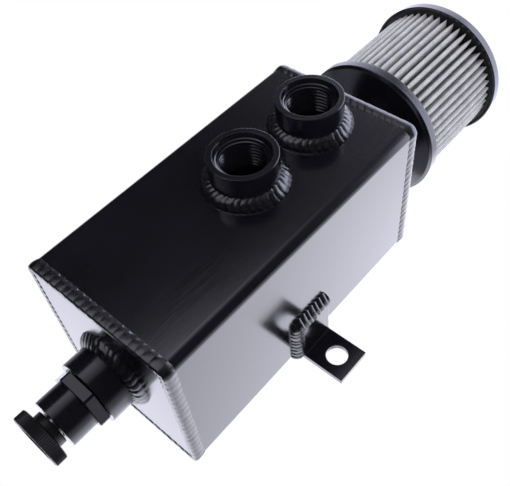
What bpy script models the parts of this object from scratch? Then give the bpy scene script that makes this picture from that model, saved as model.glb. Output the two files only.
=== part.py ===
"""Square welded aluminium breather reservoir with two hose ports, a drain valve and a breather filter.

The tank stands upright: +Z runs along the tank from the drain to the filter, and the ports face -Y.
The world origin is midway between the two bracket holes, on the plane of the brackets' back faces.
Sizes are in metres. Heights along the tank are measured from the outer face of its drain end.
"""
import math

import bmesh
import bpy
from mathutils import Matrix

MM = 0.001
GAP = 0.3 * MM

# tank
WIDTH = 80 * MM
LENGTH = 157.5 * MM
CORNER_RADIUS = 4.5 * MM
LEAST_RADIUS = 0.5 * MM
WALL = 3 * MM
CORNER_STEPS = 5

# weld-on bungs: two ports, the drain and the filter
BUNG_RADIUS = 15.5 * MM
BUNG_HEIGHT = 15 * MM
SPIGOT_RADIUS = 13 * MM
THREAD_BORE = 10.15 * MM
MOUTH_RADIUS = 12.8 * MM
BUNG_STEPS = 30
PORT_HEIGHTS = (87.5 * MM, 131.5 * MM)

# brackets
BRACKET_LEG = 24.7 * MM
BRACKET_THICKNESS = 3 * MM
BRACKET_WIDTH = 19.2 * MM
BRACKET_HEIGHT = 79.6 * MM
BRACKET_PROUD = 1.4 * MM
HOLE_RADIUS = 5.2 * MM
HOLE_REACH = 15.3 * MM
WELD_LEG = 5.4 * MM
WELD_THROAT = 3.4 * MM

# baffle
BAFFLE_HEIGHT = 62 * MM
BAFFLE_THICKNESS = 2 * MM
BAFFLE_HOLE = 4 * MM
BAFFLE_PITCH = 20 * MM

# drain valve, lengths measured downwards from the drain end of the tank
HEX_ACROSS_FLATS = 25 * MM
HEX_START = 15.3 * MM
HEX_END = 20.4 * MM
HEX_TURN = math.radians(8.6)
BODY_RADIUS = 11.6 * MM
BODY_END = 32.4 * MM
STEM_RADIUS = 5.2 * MM
STEM_BORE = 3.1 * MM
SEAT_DEPTH = 5 * MM
SEAT_BORE = 3.2 * MM
KNOB_RADIUS = 12.7 * MM
KNOB_START = 36.7 * MM
KNOB_END = 42.1 * MM
HUB_RADIUS = 8 * MM
KNOB_TEETH = 30

# breather filter, heights measured from the drain end of the tank
FILTER_SEAT = LENGTH + BUNG_HEIGHT
CAP_RADIUS = 38.5 * MM
CAP_WALL = 1.3 * MM
BASE_RIM_LOW = 179.3 * MM
BASE_RIM_HIGH = 184.3 * MM
TOP_RIM_LOW = 240.6 * MM
TOP_FACE = 245.4 * MM
MEDIA_OUTER = 35.3 * MM
MEDIA_INNER = 26.5 * MM
PLEATS = 52
CORE_RADIUS = 24 * MM
STUD_RADIUS = THREAD_BORE - GAP
STUD_BORE = 7.5 * MM
CAP_STEPS = 48

TANK_AXIS = (0.0, -(WIDTH / 2 + BRACKET_PROUD), -BRACKET_HEIGHT)

BLACK = (0.012, 0.012, 0.016)
WELD_GREY = (0.05, 0.05, 0.06)


def clear_scene():
    for item in list(bpy.data.objects):
        bpy.data.objects.remove(item, do_unlink=True)


def material(name, colour, roughness, metallic):
    made = bpy.data.materials.new(name)
    made.use_nodes = True
    shader = made.node_tree.nodes["Principled BSDF"]
    shader.inputs["Base Color"].default_value = (*colour, 1.0)
    shader.inputs["Roughness"].default_value = roughness
    shader.inputs["Metallic"].default_value = metallic
    return made


def add_object(name, bm, look, parent, location=(0, 0, 0), turn=None, smooth=True):
    """Close the mesh's bookkeeping and place it as a named object with a material of its own."""
    bmesh.ops.remove_doubles(bm, verts=bm.verts, dist=1e-7)
    bmesh.ops.recalc_face_normals(bm, faces=bm.faces)
    mesh = bpy.data.meshes.new(name)
    bm.to_mesh(mesh)
    bm.free()
    if smooth:
        mesh.shade_smooth()
        mesh.set_sharp_from_angle(angle=math.radians(35))
    mesh.materials.append(material(name, *look))
    made = bpy.data.objects.new(name, mesh)
    bpy.context.scene.collection.objects.link(made)
    made.parent = parent
    made.location = location
    if turn is not None:
        made.rotation_euler = turn
    return made


def rounded_square(half, radius, z, steps=CORNER_STEPS):
    """Points of a square outline with round corners, at height z."""
    points = []
    for corner in range(4):
        middle = math.radians(45 + 90 * corner)
        centre_x = math.copysign(half - radius, math.cos(middle))
        centre_y = math.copysign(half - radius, math.sin(middle))
        for step in range(steps + 1):
            angle = math.radians(90 * corner + 90 * step / steps)
            points.append((centre_x + radius * math.cos(angle), centre_y + radius * math.sin(angle), z))
    return points


def inset_square(inset, z):
    """The tank's outline moved inwards by an inset; its corners never get sharper than LEAST_RADIUS."""
    return rounded_square(WIDTH / 2 - inset, max(CORNER_RADIUS - inset, LEAST_RADIUS), z)


def circle(radius, z, steps):
    return [
        (radius * math.cos(2 * math.pi * k / steps), radius * math.sin(2 * math.pi * k / steps), z)
        for k in range(steps)
    ]


def skin(rings, closed, wrap=True):
    """Join equal rings of points into one closed mesh.

    closed joins the last ring to the first; otherwise both ends are capped.
    wrap joins each ring's last point to its first.
    """
    bm = bmesh.new()
    rows = [[bm.verts.new(point) for point in ring] for ring in rings]
    count = len(rows[0])
    pairs = list(zip(rows, rows[1:]))
    if closed:
        pairs.append((rows[-1], rows[0]))
    for low, high in pairs:
        for k in range(count if wrap else count - 1):
            following = (k + 1) % count
            bm.faces.new((low[k], low[following], high[following], high[k]))
    if not closed:
        bm.faces.new(rows[0][::-1])
        bm.faces.new(rows[-1])
    return bm


def turned(profile, steps):
    """A body of revolution about Z from a closed (radius, height) outline clear of the axis."""
    return skin([circle(radius, height, steps) for radius, height in profile], closed=True)


def turned_solid(profile, steps):
    """A body of revolution about Z whose first and last outline points are flat ends on the axis."""
    return skin([circle(radius, height, steps) for radius, height in profile], closed=False)


def downwards(profile):
    """The same outline measured down from the drain end."""
    return [(radius, -depth) for radius, depth in profile]


def cylinder_bmesh(radius, low, high, steps, axis="Z", centre=(0, 0, 0)):
    bm = skin([circle(radius, low, steps), circle(radius, high, steps)], closed=False)
    if axis == "X":
        bmesh.ops.rotate(bm, verts=bm.verts, matrix=Matrix.Rotation(math.pi / 2, 3, "Y"))
    if axis == "Y":
        bmesh.ops.rotate(bm, verts=bm.verts, matrix=Matrix.Rotation(-math.pi / 2, 3, "X"))
    bmesh.ops.translate(bm, verts=bm.verts, vec=centre)
    bmesh.ops.recalc_face_normals(bm, faces=bm.faces)
    return bm


def cutter(name, parts, parent):
    """One hidden cutting object made of several closed shapes."""
    mesh = bpy.data.meshes.new(name)
    joined = bmesh.new()
    for part in parts:
        scratch = bpy.data.meshes.new(name + "_piece")
        part.to_mesh(scratch)
        part.free()
        joined.from_mesh(scratch)
        bpy.data.meshes.remove(scratch)
    joined.to_mesh(mesh)
    joined.free()
    made = bpy.data.objects.new(name, mesh)
    bpy.context.scene.collection.objects.link(made)
    made.parent = parent
    made.hide_render = True
    made.display_type = "WIRE"
    return made


def cut(target, tool):
    modifier = target.modifiers.new("cut_" + tool.name, "BOOLEAN")
    modifier.operation = "DIFFERENCE"
    modifier.solver = "EXACT"
    modifier.object = tool


def make_tank(parent):
    """Square tube, open at both ends, with a bevelled edge under each seam weld."""
    half = WIDTH / 2
    plate_top = WALL + GAP
    prep = 2.4 * MM
    outline = [
        (prep, plate_top),
        (0.0, plate_top + prep),
        (0.0, LENGTH - plate_top - prep),
        (prep, LENGTH - plate_top),
        (WALL, LENGTH - plate_top),
        (WALL, plate_top),
    ]
    bm = skin([inset_square(*ring) for ring in outline], closed=True)
    tank = add_object("tank_shell", bm, (BLACK, 0.25, 0.6), parent)
    holes = [
        cylinder_bmesh(SPIGOT_RADIUS + GAP, half - 2 * WALL, half + WALL, BUNG_STEPS, "Y", (0, -WIDTH, height))
        for height in PORT_HEIGHTS
    ]
    cut(tank, cutter("port_holes", holes, parent))


def make_end_plate(name, parent, outer_z, inner_z):
    """Flat plate that closes one end, bevelled under the seam weld, with a hole for its bung."""
    rings = [
        inset_square(4.6 * MM, outer_z),
        inset_square(2.4 * MM, inner_z),
    ]
    plate = add_object(name, skin(rings, closed=False), (BLACK, 0.25, 0.6), parent)
    low, high = sorted((outer_z, inner_z))
    hole = cylinder_bmesh(SPIGOT_RADIUS + GAP, low - WALL, high + WALL, BUNG_STEPS)
    cut(plate, cutter(name + "_hole", [hole], parent))


def make_seam_weld(name, parent, end_z, inward):
    """Convex bead all round one end; it wraps the corner from the side face to the end face."""
    profile = (
        (-0.3, 6.3), (-0.8, 5.2), (-1.0, 3.4), (-0.9, 1.4), (-0.2, -0.1),
        (1.4, -0.9), (3.2, -0.9), (4.8, -0.35), (4.2, 0.0), (2.1, 2.9), (1.95, 3.3), (-0.3, 5.6),
    )
    rings = [inset_square(inset * MM, end_z + inward * depth * MM) for inset, depth in profile]
    add_object(name, skin(rings, closed=True), (WELD_GREY, 0.35, 0.8), parent)


def bung_profile():
    edge = 0.7 * MM
    return [
        (THREAD_BORE, -WALL),
        (SPIGOT_RADIUS, -WALL),
        (SPIGOT_RADIUS, GAP),
        (BUNG_RADIUS, GAP),
        (BUNG_RADIUS, BUNG_HEIGHT - edge),
        (BUNG_RADIUS - edge, BUNG_HEIGHT),
        (MOUTH_RADIUS, BUNG_HEIGHT),
        (11.2 * MM, BUNG_HEIGHT - 2.6 * MM),
        (THREAD_BORE, BUNG_HEIGHT - 3.3 * MM),
    ]


def make_bung(name, parent, location, turn):
    """Weld-on boss with an O-ring seat at its mouth, and the fillet weld round its foot."""
    look = (BLACK, 0.3, 0.6)
    add_object(name, turned(bung_profile(), BUNG_STEPS), look, parent, location, turn)
    inner = BUNG_RADIUS + GAP
    weld = [
        (inner, GAP),
        (19.6 * MM, GAP),
        (19.0 * MM, 1.5 * MM),
        (17.4 * MM, 3.2 * MM),
        (inner, 4.2 * MM),
    ]
    look = (WELD_GREY, 0.35, 0.8)
    add_object(name + "_weld", turned(weld, BUNG_STEPS), look, parent, location, turn)


def make_bracket(name, parent, side):
    """Angle bracket: one leg on the side wall, the other stands out at the back with a bolt hole."""
    near = WIDTH / 2 + GAP
    back = WIDTH / 2 + BRACKET_PROUD
    outer_bend = 3.4 * MM
    inner_bend = 0.9 * MM
    steps = 4
    outline = [(near, back - BRACKET_LEG)]
    for step in range(steps + 1):
        angle = math.pi - step * math.pi / 2 / steps
        x = near + outer_bend + outer_bend * math.cos(angle)
        y = back - outer_bend + outer_bend * math.sin(angle)
        outline.append((x, y))
    outline.append((near + BRACKET_LEG, back))
    outline.append((near + BRACKET_LEG, back - BRACKET_THICKNESS))
    bend_x = near + BRACKET_THICKNESS + inner_bend
    bend_y = back - BRACKET_THICKNESS - inner_bend
    for step in range(steps + 1):
        angle = math.pi / 2 + step * math.pi / 2 / steps
        outline.append((bend_x + inner_bend * math.cos(angle), bend_y + inner_bend * math.sin(angle)))
    outline.append((near + BRACKET_THICKNESS, back - BRACKET_LEG))
    low = BRACKET_HEIGHT - BRACKET_WIDTH / 2
    high = BRACKET_HEIGHT + BRACKET_WIDTH / 2
    rings = [[(side * x, y, z) for x, y in outline] for z in (low, high)]
    bracket = add_object(name, skin(rings, closed=False), (BLACK, 0.25, 0.6), parent)
    bolt = (side * (WIDTH / 2 + HOLE_REACH), back, BRACKET_HEIGHT)
    reach = 3 * BRACKET_THICKNESS
    cut(bracket, cutter(name + "_hole", [cylinder_bmesh(HOLE_RADIUS, -reach, reach, 24, "Y", bolt)], parent))
    make_bracket_weld(name + "_weld", parent, side, low - GAP, back - BRACKET_LEG - GAP)


def make_bracket_weld(name, parent, side, root_z, root_y):
    """Fillet bead along the drain side and the top edge of the leg on the wall."""
    wall = WIDTH / 2 + GAP
    foot_y = WIDTH / 2 - 1.2 * MM
    end_z = root_z + BRACKET_WIDTH + 2 * MM
    section = [
        (0.0, 0.0),
        (WELD_LEG, 0.0),
        (0.86 * WELD_LEG, 0.42 * WELD_THROAT),
        (0.5 * WELD_LEG, 0.85 * WELD_THROAT),
        (0.1 * WELD_LEG, WELD_THROAT),
        (0.0, WELD_THROAT),
    ]
    rings = [
        [(side * (wall + rise), foot_y, root_z - out) for out, rise in section],
        [(side * (wall + rise), root_y - out, root_z - out) for out, rise in section],
        [(side * (wall + rise), root_y - out, end_z) for out, rise in section],
    ]
    add_object(name, skin(rings, closed=False), (WELD_GREY, 0.35, 0.8), parent)


def make_baffle(parent):
    """Perforated plate across the tank that keeps oil from splashing up to the ports."""
    high = BAFFLE_HEIGHT + BAFFLE_THICKNESS
    rings = [inset_square(WALL + GAP, BAFFLE_HEIGHT), inset_square(WALL + GAP, high)]
    baffle = add_object("baffle_plate", skin(rings, closed=False), ((0.6, 0.6, 0.62), 0.35, 0.9), parent)
    holes = []
    for column in (-1, 0, 1):
        for row in (-1, 0, 1):
            centre = (column * BAFFLE_PITCH, row * BAFFLE_PITCH, 0)
            low = BAFFLE_HEIGHT - WALL
            holes.append(cylinder_bmesh(BAFFLE_HOLE, low, high + WALL, 12, "Z", centre))
    cut(baffle, cutter("baffle_holes", holes, parent))


def hexagon_ring(across_flats, limit, z, steps):
    """A hexagon's outline at height z, with its corners trimmed to a radius."""
    points = []
    for k in range(steps):
        angle = 2 * math.pi * k / steps
        from_flat = (angle % (math.pi / 3)) - math.pi / 6
        radius = min(across_flats / 2 / math.cos(from_flat), limit)
        points.append((radius * math.cos(angle), radius * math.sin(angle), z))
    return points


def make_drain_valve(parent):
    """Valve body with its seal, and the hollow stem and knob that unscrew to let oil out."""
    steps = 36
    bore = STEM_RADIUS + 2 * GAP
    chamber = 7.2 * MM
    chamber_end = 17.5 * MM
    groove = THREAD_BORE - 1.3 * MM
    corner = HEX_ACROSS_FLATS / 2 / math.cos(math.pi / 6)
    bevel = 0.6 * MM
    shank = THREAD_BORE - GAP

    def plain(radius, depth):
        return circle(radius, -depth, steps)

    def hexed(limit, depth):
        return hexagon_ring(HEX_ACROSS_FLATS, limit, -depth, steps)

    rings = [
        plain(SEAT_BORE, 2 * MM),
        plain(shank, 2 * MM),
        plain(shank, HEX_START - 2.6 * MM),
        plain(groove, HEX_START - 2.4 * MM),
        plain(groove, HEX_START),
        hexed(corner - bevel, HEX_START),
        hexed(corner, HEX_START + bevel),
        hexed(corner, HEX_END - bevel),
        hexed(corner - bevel, HEX_END),
        plain(BODY_RADIUS, HEX_END),
        plain(BODY_RADIUS, BODY_END - 0.8 * MM),
        plain(BODY_RADIUS - 0.8 * MM, BODY_END),
        plain(bore, BODY_END),
        plain(bore, chamber_end + 1.5 * MM),
        plain(chamber, chamber_end),
        plain(chamber, SEAT_DEPTH),
        plain(SEAT_BORE, SEAT_DEPTH),
    ]
    look = (BLACK, 0.3, 0.6)
    add_object("drain_valve_body", skin(rings, closed=True), look, parent, turn=(0, 0, HEX_TURN))
    make_ring("drain_port_oring", parent, 10.4 * MM, 0.85 * MM, -(HEX_START - 1.25 * MM))

    pad = [(0.6 * MM, SEAT_DEPTH + GAP), (4.8 * MM, SEAT_DEPTH + GAP), (5.2 * MM, 5.8 * MM),
           (5.2 * MM, 7.2 * MM), (0.6 * MM, 7.2 * MM)]
    add_object("drain_seal_pad", turned_solid(downwards(pad), 24), ((0.03, 0.03, 0.03), 0.8, 0.0), parent)

    groove_low = 27.6 * MM
    groove_high = 29.4 * MM
    stem_end = KNOB_END - 0.9 * MM
    groove_floor = 4.1 * MM
    stem = [
        (0.6 * MM, 7.5 * MM), (4.8 * MM, 7.5 * MM), (4.8 * MM, 13.4 * MM), (STEM_RADIUS, 14 * MM),
        (STEM_RADIUS, groove_low), (groove_floor, groove_low), (groove_floor, groove_high),
        (STEM_RADIUS, groove_high), (STEM_RADIUS, stem_end), (STEM_BORE, stem_end),
        (STEM_BORE, 9.6 * MM), (0.6 * MM, 9.6 * MM),
    ]
    steel = ((0.55, 0.55, 0.56), 0.3, 1.0)
    stem_object = add_object("drain_stem", turned_solid(downwards(stem), 24), steel, parent)
    inlet = cylinder_bmesh(1.3 * MM, -2 * STEM_RADIUS, 2 * STEM_RADIUS, 12, "X", (0, 0, -11.3 * MM))
    cut(stem_object, cutter("stem_inlet", [inlet], parent))
    make_ring("drain_stem_oring", parent, 4.95 * MM, 0.6 * MM, -(groove_low + groove_high) / 2)
    make_knob(parent)


def make_knob(parent):
    """Round knob with a serrated rim and a hub, pressed on the stem."""
    steps = 2 * KNOB_TEETH
    depth = 0.45 * MM
    edge = 0.5 * MM
    inner = STEM_RADIUS + GAP

    def rim(radius, length):
        points = circle(radius, -length, steps)
        low = (radius - depth) / radius
        return [(x * low, y * low, z) if k % 2 else (x, y, z) for k, (x, y, z) in enumerate(points)]

    rings = [
        circle(inner, -(BODY_END + 2 * GAP), steps),
        circle(HUB_RADIUS, -(BODY_END + 2 * GAP), steps),
        circle(HUB_RADIUS, -KNOB_START, steps),
        circle(KNOB_RADIUS - 2 * edge, -KNOB_START, steps),
        rim(KNOB_RADIUS, KNOB_START + edge),
        rim(KNOB_RADIUS, KNOB_END - edge),
        circle(KNOB_RADIUS - 2 * edge, -KNOB_END, steps),
        circle(HUB_RADIUS + MM, -KNOB_END, steps),
        circle(HUB_RADIUS, -(KNOB_END - 0.8 * MM), steps),
        circle(inner, -(KNOB_END - 0.8 * MM), steps),
    ]
    add_object("drain_knob", skin(rings, closed=True), (BLACK, 0.45, 0.5), parent)


def make_ring(name, parent, radius, thickness, z):
    """Rubber O-ring: its section is a hexagon of the given half thickness."""
    profile = []
    for k in range(6):
        angle = 2 * math.pi * k / 6
        profile.append((radius + thickness * math.cos(angle), z + thickness * math.sin(angle)))
    add_object(name, turned(profile, 24), ((0.02, 0.02, 0.02), 0.7, 0.0), parent)


def dish(radius):
    """Height of the base cap's inner floor at a radius: it rises from the hub to the rim."""
    hub, rim = 13.4 * MM, CAP_RADIUS - CAP_WALL
    low, high = 177.2 * MM, 181.4 * MM
    return low + (high - low) * (radius - hub) / (rim - hub)


def make_filter(parent):
    """Breather filter: two caps with pleated gauze between them, on a hollow threaded stud."""
    steps = CAP_STEPS
    inner = CAP_RADIUS - CAP_WALL
    edge = 0.7 * MM
    seat = FILTER_SEAT + GAP
    bore = STUD_RADIUS + GAP
    black = (BLACK, 0.25, 0.6)

    base = [
        (bore, seat), (14.6 * MM, seat), (15.2 * MM, seat + edge), (CAP_RADIUS - 1.2 * MM, BASE_RIM_LOW - edge),
        (CAP_RADIUS, BASE_RIM_LOW), (CAP_RADIUS, BASE_RIM_HIGH - 0.4 * MM), (CAP_RADIUS - 0.4 * MM, BASE_RIM_HIGH),
        (inner, BASE_RIM_HIGH), (inner, dish(inner)), (13.4 * MM, dish(13.4 * MM)), (bore, dish(13.4 * MM)),
    ]
    add_object("filter_base_cap", turned(base, steps), black, parent)

    flange = dish(13.4 * MM) + GAP
    stud = [
        (STUD_BORE, LENGTH + 1 * MM), (STUD_RADIUS, LENGTH + 1 * MM), (STUD_RADIUS, flange),
        (13.2 * MM, flange), (13.2 * MM, flange + 2 * MM), (STUD_BORE, flange + 2 * MM),
    ]
    add_object("filter_stud", turned(stud, 32), ((0.6, 0.6, 0.62), 0.3, 0.9), parent)
    make_ring("filter_oring", parent, 11.0 * MM, 0.75 * MM, FILTER_SEAT - 1.1 * MM)

    bond_outer = inner - GAP
    bond_inner = MEDIA_INNER - 1.2 * MM
    bond_top = BASE_RIM_HIGH - 0.9 * MM
    bond = [(bond_inner, dish(bond_inner) + GAP), (bond_outer, dish(bond_outer) + GAP),
            (bond_outer, bond_top), (bond_inner, bond_top)]
    resin = ((0.05, 0.05, 0.05), 0.6, 0.0)
    add_object("filter_bond_base", turned(bond, steps), resin, parent)
    ceiling = TOP_FACE - 2 * MM
    bond_low = TOP_RIM_LOW + 0.6 * MM
    bond = [(bond_inner, bond_low), (bond_outer, bond_low), (bond_outer, ceiling - GAP), (bond_inner, ceiling - GAP)]
    add_object("filter_bond_top", turned(bond, steps), resin, parent)

    make_media(parent, bond_top + GAP, bond_low - GAP)
    make_core(parent, dish(CORE_RADIUS) + 2 * GAP, ceiling - GAP)

    top = [
        (1 * MM, ceiling), (inner, ceiling), (inner, TOP_RIM_LOW), (CAP_RADIUS - 0.4 * MM, TOP_RIM_LOW),
        (CAP_RADIUS, TOP_RIM_LOW + 0.4 * MM), (CAP_RADIUS, TOP_FACE - edge), (CAP_RADIUS - edge, TOP_FACE),
        (30 * MM, TOP_FACE), (29.4 * MM, TOP_FACE - 0.5 * MM), (1 * MM, TOP_FACE - 0.5 * MM),
    ]
    add_object("filter_top_cap", turned_solid(top, steps), black, parent)


def make_media(parent, low, high):
    """Pleated gauze: one zigzag sheet bent into a ring."""
    sheet = 0.45 * MM
    outline = []
    for k in range(2 * PLEATS):
        angle = math.pi * k / PLEATS
        radius = MEDIA_INNER if k % 2 else MEDIA_OUTER
        outline.append((radius * math.cos(angle), radius * math.sin(angle)))
    rings = []
    for offset, z in ((0, low), (0, high), (sheet, high), (sheet, low)):
        ring = []
        for x, y in outline:
            length = math.hypot(x, y)
            scale = (length - 3 * offset) / length
            ring.append((x * scale, y * scale, z))
        rings.append(ring)
    bm = skin(rings, closed=True)
    add_object("filter_media", bm, ((0.62, 0.62, 0.6), 0.4, 0.8), parent, smooth=False)


def make_core(parent, low, high):
    """Support tube inside the pleats, with rows of square windows."""
    across = 24
    windows = 5
    half_wall = 0.4 * MM
    levels = [low + 2 * MM]
    bar = 3 * MM
    tall = (high - low - 4 * MM - bar * (windows - 1)) / windows
    for row in range(windows):
        levels.append(levels[-1] + tall)
        if row < windows - 1:
            levels.append(levels[-1] + bar)
    heights = [low] + levels + [high]
    bm = bmesh.new()
    outer = [[bm.verts.new(point) for point in circle(CORE_RADIUS + half_wall, z, across)] for z in heights]
    inside = [[bm.verts.new(point) for point in circle(CORE_RADIUS - half_wall, z, across)] for z in heights]

    def is_window(row, column):
        return 0 < row < len(heights) - 2 and row % 2 == 1 and column % 3 != 0

    for row in range(len(heights) - 1):
        for k in range(across):
            n = (k + 1) % across
            corners = ((row, k), (row, n), (row + 1, n), (row + 1, k))
            if is_window(row, k):
                beside = ((row - 1, k), (row, n), (row + 1, k), (row, (k - 1) % across))
                for side, (row_b, column_b) in enumerate(beside):
                    if not is_window(row_b, column_b):
                        first, second = corners[side], corners[(side + 1) % 4]
                        a, b = outer[first[0]][first[1]], outer[second[0]][second[1]]
                        c, d = inside[second[0]][second[1]], inside[first[0]][first[1]]
                        bm.faces.new((a, b, c, d))
            else:
                bm.faces.new([outer[i][j] for i, j in corners])
                bm.faces.new([inside[i][j] for i, j in reversed(corners)])
    for k in range(across):
        n = (k + 1) % across
        bm.faces.new((inside[0][k], inside[0][n], outer[0][n], outer[0][k]))
        bm.faces.new((outer[-1][k], outer[-1][n], inside[-1][n], inside[-1][k]))
    loose = [vertex for vertex in bm.verts if not vertex.link_faces]
    bmesh.ops.delete(bm, geom=loose, context="VERTS")
    add_object("filter_core", bm, ((0.5, 0.5, 0.5), 0.4, 0.9), parent, smooth=False)


def main():
    clear_scene()
    tank_axis = bpy.data.objects.new("tank_axis", None)
    bpy.context.scene.collection.objects.link(tank_axis)
    tank_axis.location = TANK_AXIS

    make_tank(tank_axis)
    make_end_plate("drain_end_plate", tank_axis, 0.0, WALL)
    make_end_plate("filter_end_plate", tank_axis, LENGTH, LENGTH - WALL)
    make_seam_weld("drain_end_weld", tank_axis, 0.0, 1)
    make_seam_weld("filter_end_weld", tank_axis, LENGTH, -1)
    make_baffle(tank_axis)

    for name, height in zip(("port_lower", "port_upper"), PORT_HEIGHTS):
        make_bung(name, tank_axis, (0, -WIDTH / 2, height), (math.pi / 2, 0, 0))
    make_bung("drain_bung", tank_axis, (0, 0, 0), (math.pi, 0, 0))
    make_bung("filter_bung", tank_axis, (0, 0, LENGTH), None)
    make_bracket("bracket_right", tank_axis, 1)
    make_bracket("bracket_left", tank_axis, -1)
    make_drain_valve(tank_axis)
    make_filter(tank_axis)
    bpy.context.view_layer.update()


main()
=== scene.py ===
"""Finished look of a welded, black anodised breather reservoir.

It has two hose ports, a drain valve with a knob and a pleated filter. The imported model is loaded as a
fixed frame. Visible parts get detailed shapes that ride on its bodies: rippled weld beads, threaded
ports, a knurled knob, deep gauze pleats and turned caps. Shapes are made in the tank's own frame, in
millimetres: the tank's axis is x = y = 0, the drain end of the tank is z = 0, the ports face -Y and the
filter is at the high end of Z.
"""

import math

import bmesh
import bpy
from mathutils import Matrix, Vector, noise


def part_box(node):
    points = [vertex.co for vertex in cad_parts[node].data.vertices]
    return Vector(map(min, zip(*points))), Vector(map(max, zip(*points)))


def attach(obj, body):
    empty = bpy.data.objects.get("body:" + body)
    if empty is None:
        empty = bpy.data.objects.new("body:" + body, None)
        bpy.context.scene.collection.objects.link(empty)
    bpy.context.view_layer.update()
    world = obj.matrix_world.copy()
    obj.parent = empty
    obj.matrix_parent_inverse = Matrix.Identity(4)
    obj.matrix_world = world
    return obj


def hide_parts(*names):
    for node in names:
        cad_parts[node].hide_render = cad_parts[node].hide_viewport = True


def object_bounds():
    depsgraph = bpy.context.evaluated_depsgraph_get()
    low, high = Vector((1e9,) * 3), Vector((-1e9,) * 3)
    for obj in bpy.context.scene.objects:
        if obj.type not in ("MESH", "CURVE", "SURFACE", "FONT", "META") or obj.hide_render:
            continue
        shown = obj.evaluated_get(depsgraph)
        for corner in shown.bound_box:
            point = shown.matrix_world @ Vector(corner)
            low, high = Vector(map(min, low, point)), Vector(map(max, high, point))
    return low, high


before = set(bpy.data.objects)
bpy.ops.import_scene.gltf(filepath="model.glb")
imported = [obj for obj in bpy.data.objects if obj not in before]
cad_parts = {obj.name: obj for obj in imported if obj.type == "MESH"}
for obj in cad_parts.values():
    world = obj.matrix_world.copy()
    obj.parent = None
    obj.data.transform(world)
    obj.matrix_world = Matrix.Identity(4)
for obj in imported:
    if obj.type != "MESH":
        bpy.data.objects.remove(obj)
CAD_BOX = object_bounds()

MM = 0.001
SHELL_LOW, SHELL_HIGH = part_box("tank_shell")
DRAIN_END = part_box("drain_end_plate")[0].z
TANK_AXIS = Vector(((SHELL_LOW.x + SHELL_HIGH.x) / 2, (SHELL_LOW.y + SHELL_HIGH.y) / 2, DRAIN_END))


def span(node, axis):
    """Lowest and highest value of a CAD node along an axis, in millimetres of the tank's frame."""
    low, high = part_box(node)
    return (low[axis] - TANK_AXIS[axis]) / MM, (high[axis] - TANK_AXIS[axis]) / MM


# tank, in millimetres
HALF = span("tank_shell", 0)[1]
LENGTH = span("filter_end_plate", 2)[1]
CORNER_RADIUS = 4.5
LEAST_RADIUS = 0.5
WALL = 3.0
PLATE_INSET = 2.2
PLATE_HOLE = 13.3
CORNER_STEPS = 14

# bungs: heights above the plate that they are welded to
BUNG_RADIUS = (span("port_lower", 0)[1] - span("port_lower", 0)[0]) / 2
BUNG_HEIGHT = -HALF - span("port_lower", 1)[0]
PORT_HEIGHTS = [sum(span(node, 2)) / 2 for node in ("port_lower", "port_upper")]
THREAD_MINOR = 10.15
THREAD_DEPTH = 0.75
THREAD_PITCH = 1.81
BUNG_STEPS = 112

# brackets
BRACKET_LOW, BRACKET_HIGH = span("bracket_right", 2)
BRACKET_BACK = span("bracket_right", 1)[1]
BRACKET_FRONT = span("bracket_right", 1)[0]
BRACKET_NEAR, BRACKET_FAR = span("bracket_right", 0)
BRACKET_THICKNESS = 3.0
BOLT_RADIUS = 5.2
BOLT_REACH = 55.3

# drain valve, depths below the drain end of the tank
HEX_START, HEX_END = 15.3, 20.4
HEX_FLATS = 25.0
HEX_TURN = math.radians(8.6)
VALVE_RADIUS = 11.6
VALVE_END = -span("drain_valve_body", 2)[0]
STEM_RADIUS = 5.2
KNOB_RADIUS = span("drain_knob", 0)[1]
KNOB_START = 36.7
KNOB_END = -span("drain_knob", 2)[0]
KNURLS = 84

# breather filter
CAP_RADIUS = span("filter_base_cap", 0)[1]
BASE_LOW, BASE_HIGH = span("filter_base_cap", 2)
TOP_LOW, TOP_HIGH = span("filter_top_cap", 2)
MEDIA_LOW, MEDIA_HIGH = span("filter_media", 2)
MEDIA_OUTER, MEDIA_INNER = 35.3, 26.5
PLEATS = 52
CAP_STEPS = 144


# rubber rings: the radius of the ring and of its section, then its height
PORT_RING = (10.4, 0.85, -(HEX_START - 1.25))
STEM_RING = (4.95, 0.6, -28.5)
SEAT_RING = (11.0, 0.75, LENGTH + BUNG_HEIGHT - 1.1)


# ---------------------------------------------------------------- shapes

def circle(radius, z, steps):
    return [
        (radius * math.cos(2 * math.pi * k / steps), radius * math.sin(2 * math.pi * k / steps), z)
        for k in range(steps)
    ]


def rounded_square(inset, z, steps=CORNER_STEPS):
    """Points of the tank's outline, moved in by inset, at height z."""
    radius = max(CORNER_RADIUS - inset, LEAST_RADIUS)
    reach = HALF - inset - radius
    points = []
    for corner in range(4):
        middle = math.radians(45 + 90 * corner)
        centre_x = math.copysign(reach, math.cos(middle))
        centre_y = math.copysign(reach, math.sin(middle))
        for step in range(steps + 1):
            angle = math.radians(90 * corner + 90 * step / steps)
            points.append((centre_x + radius * math.cos(angle), centre_y + radius * math.sin(angle), z))
    return points


def filleted(points, steps=4):
    """A closed outline whose third values, where given, round its corners to that radius."""
    made = []
    for index, point in enumerate(points):
        corner = Vector(point[:2])
        if len(point) < 3:
            made.append(tuple(corner))
            continue
        back = (Vector(points[index - 1][:2]) - corner).normalized()
        ahead = (Vector(points[(index + 1) % len(points)][:2]) - corner).normalized()
        half_angle = back.angle(ahead) / 2
        centre = corner + (back + ahead).normalized() * (point[2] / math.sin(half_angle))
        reach = point[2] / math.tan(half_angle)
        start, end = corner + back * reach - centre, corner + ahead * reach - centre
        for step in range(steps + 1):
            made.append(tuple(centre + start.lerp(end, step / steps).normalized() * point[2]))
    return made


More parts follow.
